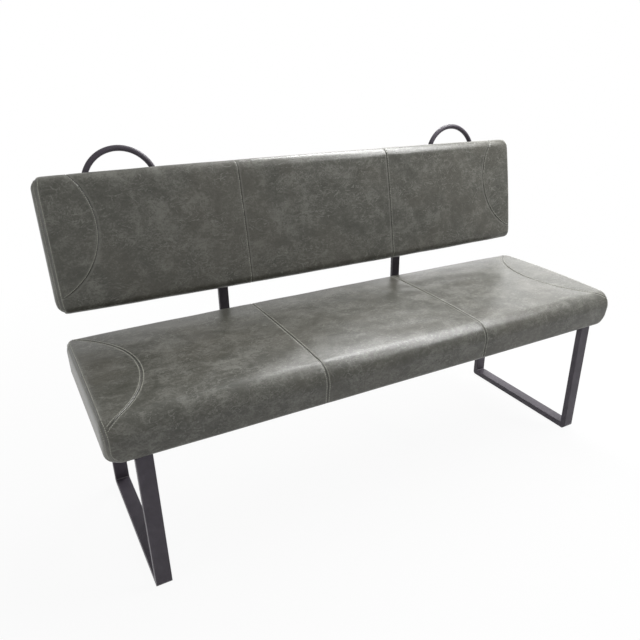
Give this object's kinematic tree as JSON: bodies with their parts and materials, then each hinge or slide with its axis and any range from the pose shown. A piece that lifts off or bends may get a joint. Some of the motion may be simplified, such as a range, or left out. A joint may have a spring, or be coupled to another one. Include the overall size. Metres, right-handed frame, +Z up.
{
  "type": "upholstered bench",
  "caption": "Upholstered bench with a leaning padded backrest, curved end seams, sled legs of rectangular tube and loop handles above the backrest.",
  "frame": {"origin": "on the floor, below the middle of the overall box", "axes": "+X along the bench to the right of someone who faces its front, the sitter faces -Y, +Z up"},
  "size_m": [1.6102, 0.6314, 0.9901],
  "materials": {
    "cover": "waxed, clouded grey green, satin",
    "foam": "open-cell foam",
    "board": "plain plywood",
    "dust_cover": "black non-woven",
    "frame": "fine satin powder coat, anthracite black",
    "zinc": "zinc plated",
    "glide": "matt black"
  },
  "bodies": {
    "root": {"seat_board": "board", "seat_foam": "foam", "seat_centre_panel": "cover", "seat_left_panel": "cover", "seat_right_panel": "cover", "seat_left_end_panel": "cover", "seat_right_end_panel": "cover", "seat_left_side": "cover", "seat_right_side": "cover", "seat_dust_cover": "dust_cover", "seat_tnuts": "zinc", "back_board": "board", "back_foam": "foam", "back_centre_panel": "cover", "back_left_panel": "cover", "back_right_panel": "cover", "back_left_end_panel": "cover", "back_right_end_panel": "cover", "back_left_side": "cover", "back_right_side": "cover", "back_rear_panel": "cover", "back_tnuts": "zinc", "handle_tnuts": "zinc", "left_leg_front": "frame", "left_leg_rail": "frame", "left_leg_rear": "frame", "left_leg_plate": "frame", "right_leg_front": "frame", "right_leg_rail": "frame", "right_leg_rear": "frame", "right_leg_plate": "frame", "leg_bolts": "zinc", "leg_washers": "zinc", "floor_glides": "glide", "left_upright": "frame", "right_upright": "frame", "upright_seat_bolts": "zinc", "upright_back_bolts": "zinc", "upright_washers": "zinc", "left_handle": "frame", "right_handle": "frame", "left_handle_bar": "frame", "right_handle_bar": "frame", "handle_bolts": "zinc"}
  },
  "joints": []
}
